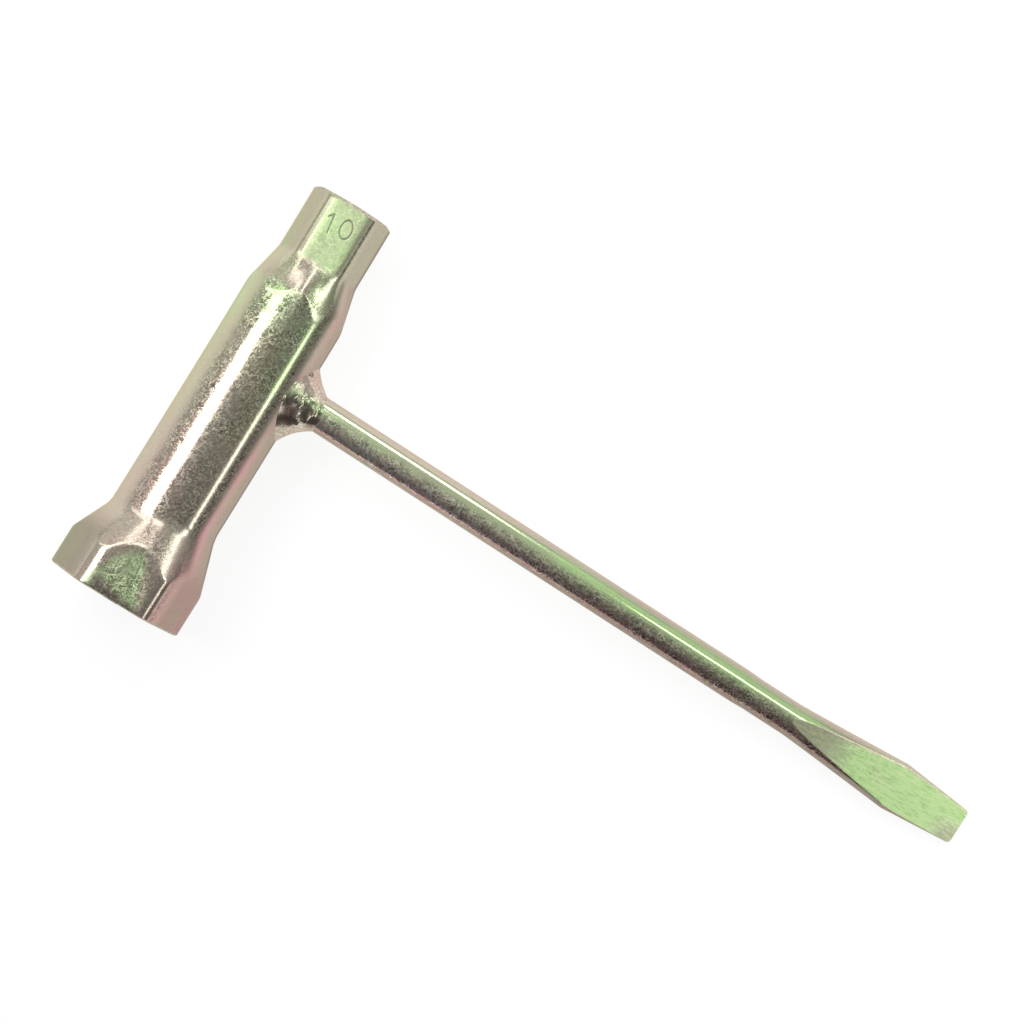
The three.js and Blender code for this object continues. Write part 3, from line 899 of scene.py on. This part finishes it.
def plated_steel(name, stretch, gloss, dimple_depth):
    """Yellow zinc chromate on steel: a film from pink to green, fine grain, hair scratches and scuffs."""
    material = bpy.data.materials.new(name)
    material.use_nodes = True
    tree = material.node_tree
    shader = tree.nodes["Principled BSDF"]
    place = node(tree, "ShaderNodeAttribute", attribute_name="place").outputs["Vector"]
    along = node(tree, "ShaderNodeVectorMath", {0: place, 1: stretch}, operation="MULTIPLY").outputs["Vector"]

    clouds = noise(tree, place, 0.13, 3)
    patches = noise(tree, place, 0.8, 4, 0.6)
    clusters = ramp(tree, noise(tree, place, 0.28, 3, 0.6), [(0.37, 0.45), (0.65, 1.4)])
    streaks = noise(tree, along, 2.4, 4, 0.65)
    grainy = calc(tree, "MULTIPLY", field(tree, "grainy"), clusters)
    speckle = calc(tree, "MULTIPLY", calc(tree, "SUBTRACT", noise(tree, place, 2.0, 5, 0.7), 0.5), grainy)
    mottle = calc(tree, "MULTIPLY", around_zero(tree, patches, 0.3), field(tree, "grainy"))
    film = calc(tree, "ADD", field(tree, "film"), around_zero(tree, clouds, 0.42))
    film = calc(tree, "ADD", film, mottle)
    film = calc(tree, "MULTIPLY_ADD", speckle, 0.2, film)
    colour = ramp(tree, film, FILM_STOPS)

    flecks = crossed_marks(tree, place, *FLECKS)
    flecks = calc(tree, "MULTIPLY", calc(tree, "SUBTRACT", flecks, 0.4), grainy)

    shade = calc(tree, "MULTIPLY", calc(tree, "MULTIPLY_ADD", speckle, 2.2, 0.98), field(tree, "shade"))
    shade = calc(tree, "MULTIPLY", shade, calc(tree, "MULTIPLY_ADD", flecks, 0.95, 1.0))
    streaked = calc(tree, "MULTIPLY", around_zero(tree, streaks, 1.2), field(tree, "drawn"))
    shade = calc(tree, "MULTIPLY", shade, calc(tree, "ADD", streaked, 1.0))
    shade = calc(tree, "MULTIPLY", shade, calc(tree, "MULTIPLY_ADD", mottle, 1.8, 1.0))
    shade = calc(tree, "MAXIMUM", shade, 0.12)
    grey = node(tree, "ShaderNodeCombineColor", {"Red": shade, "Green": shade, "Blue": shade})
    colour = mix_colour(tree, 1.0, colour, grey.outputs["Color"], "MULTIPLY")

    scratches = crossed_marks(tree, place, *SCRATCHES)
    worn_places = ramp(tree, noise(tree, place, 0.33, 4, 0.6, 0.3), [(0.40, 0.1), (0.62, 1.0)])
    worn_places = calc(tree, "MULTIPLY", worn_places, field(tree, "worn"))
    scuff = calc(tree, "MULTIPLY", worn_places, scratches)
    colour = mix_colour(tree, calc(tree, "MULTIPLY", scuff, 0.45), colour, SCUFF_COLOUR)

    rough = calc(tree, "MULTIPLY_ADD", field(tree, "matte"), 0.34, gloss)
    rough = calc(tree, "MULTIPLY_ADD", scuff, 0.35, rough)
    rough = calc(tree, "MULTIPLY_ADD", flecks, 0.14, rough)

    dimples = noise(tree, place, 1.5, 4, 0.65)
    height = calc(tree, "MULTIPLY", dimples, calc(tree, "MULTIPLY_ADD", grainy, 0.8, 0.2))
    height = calc(tree, "MULTIPLY_ADD", flecks, 0.12, height)
    height = calc(tree, "MULTIPLY_ADD", calc(tree, "MULTIPLY", streaks, field(tree, "drawn")), 0.5, height)
    bumped = node(tree, "ShaderNodeBump", {"Height": height, "Strength": 1.0, "Distance": dimple_depth * MM})

    tree.links.new(colour, shader.inputs["Base Color"])
    tree.links.new(rough, shader.inputs["Roughness"])
    tree.links.new(bumped.outputs["Normal"], shader.inputs["Normal"])
    shader.inputs["Metallic"].default_value = 1.0
    shader.inputs["Specular Tint"].default_value = SPECULAR_TINT
    return material


tube_plating = plated_steel("plated_tube", stretch=(1, 0.12, 1), gloss=0.17, dimple_depth=0.014)
bar_plating = plated_steel("plated_bar", stretch=(0.2, 1, 1), gloss=0.12, dimple_depth=0.009)
weld_plating = plated_steel("plated_weld", stretch=(1, 1, 1), gloss=0.14, dimple_depth=0.012)

add_piece("socket_tube_plated", tube_mesh(), "socket_tube", tube_plating, 35)
add_piece("screwdriver_bar_plated", bar_mesh(), "screwdriver_bar", bar_plating, 50)
add_piece("weld_bead_plated", weld_mesh(), "weld_bead", weld_plating, 60)


# Camera

away = Vector((*CAMERA_SLANT, -1)).normalized()
picture_right = Vector((math.cos(CAMERA_ROLL), math.sin(CAMERA_ROLL), 0))
picture_right = (picture_right - away * picture_right.dot(away)).normalized()
picture_up = picture_right.cross(away)
camera_data = bpy.data.cameras.new("camera")
camera_data.sensor_width = SENSOR
camera_data.lens = FOCAL_PIXELS * SENSOR / PICTURE_PIXELS
camera_data.clip_start = 0.01
camera = bpy.data.objects.new("camera", camera_data)
camera.matrix_world = Matrix((picture_right, picture_up, -away)).transposed().to_4x4()
camera.location = Vector((*CAMERA_AIM, 0)) * MM - away * CAMERA_DISTANCE * MM
bpy.context.scene.collection.objects.link(camera)
bpy.context.scene.camera = camera


# Floor and light

def floor():
    mesh = bpy.data.meshes.new("floor")
    ways = [(-1, -1), (1, -1), (1, 1), (-1, 1)]
    corners = [(FLOOR_REACH * x, FLOOR_REACH * y, 0) for x, y in ways]
    mesh.from_pydata(corners, [], [(0, 1, 2, 3)])
    material = bpy.data.materials.new("floor")
    material.use_nodes = True
    tree = material.node_tree
    shader = tree.nodes["Principled BSDF"]
    shader.inputs["Base Color"].default_value = (FLOOR_GREY, FLOOR_GREY, FLOOR_GREY, 1)
    shader.inputs["Roughness"].default_value = 0.9
    shader.inputs["Specular IOR Level"].default_value = 0.0
    path = node(tree, "ShaderNodeLightPath")
    seen = calc(tree, "ADD", path.outputs["Is Camera Ray"], path.outputs["Is Glossy Ray"])
    seen = calc(tree, "ADD", seen, path.outputs["Is Transmission Ray"], clamp=True)
    glow = calc(tree, "MULTIPLY", seen, FLOOR_GLOW)
    shader.inputs["Emission Color"].default_value = (1, 1, 1, 1)
    tree.links.new(glow, shader.inputs["Emission Strength"])
    mesh.materials.append(material)
    made = bpy.data.objects.new("floor", mesh)
    bpy.context.scene.collection.objects.link(made)


def strip_lamp(name, middle, width, length, radiance, turn=0.0):
    """A flat lamp above the tool that faces down.

    Middle is in the tool's plan, in millimetres like the sizes. Turn is in radians.
    """
    lamp = bpy.data.lights.new(name, "AREA")
    lamp.shape = "RECTANGLE"
    lamp.size = width * MM
    lamp.size_y = length * MM
    lamp.energy = radiance * math.pi * lamp.size * lamp.size_y
    made = bpy.data.objects.new(name, lamp)
    along = tube_way.to_2d().normalized()
    made.rotation_euler = (0, 0, math.atan2(-along.x, along.y) + turn)
    place = tool_origin + (side_way * middle[0] + tube_way * middle[1]) * MM
    made.location = (place.x, place.y, LAMP_HEIGHT * MM)
    made.visible_camera = False
    bpy.context.scene.collection.objects.link(made)


def room_light():
    """A plain room, lighter towards the top of the picture."""
    world = bpy.data.worlds.new("room")
    bpy.context.scene.world = world
    world.use_nodes = True
    tree = world.node_tree
    way = node(tree, "ShaderNodeTexCoord").outputs["Generated"]
    facing = node(tree, "ShaderNodeVectorMath", {0: way, 1: ROOM_LIT_FROM}, operation="DOT_PRODUCT")
    level = calc(tree, "MULTIPLY_ADD", facing.outputs["Value"], ROOM_SLOPE, ROOM_LEVEL)
    level = calc(tree, "MAXIMUM", level, ROOM_LEAST)
    tree.links.new(level, tree.nodes["Background"].inputs["Strength"])
    tree.nodes["Background"].inputs["Color"].default_value = (1, 1, 1, 1)


floor()
room_light()
strip_lamp("lamp_left", (-106, -30), width=92, length=100, radiance=4.0)
strip_lamp("lamp_left_middle", (-106, 35), width=92, length=30, radiance=1.7)
strip_lamp("lamp_left_end", (-230, 75), width=340, length=50, radiance=1.5)
strip_lamp("lamp_upper_left", (-100, 165), width=60, length=120, radiance=1.2)
strip_lamp("lamp_right", (305, -2), width=48, length=68, radiance=5.0)
strip_lamp("lamp_right_end", (300, -54), width=120, length=16, radiance=3.4)
strip_lamp("lamp_above_shoulder", (6, 150), width=28, length=70, radiance=3.2)
strip_lamp("lamp_above_small_end", (-14, 58), width=64, length=54, radiance=1.7)
strip_lamp("lamp_over_blade", (245, 85), width=90, length=60, radiance=2.9)
strip_lamp("lamp_above_blade", (198, 130), width=174, length=28, radiance=4.0, turn=-0.126)
strip_lamp("lamp_above_weld", (48, 370), width=74, length=220, radiance=3.0)

bpy.context.scene.view_settings.view_transform = "Standard"
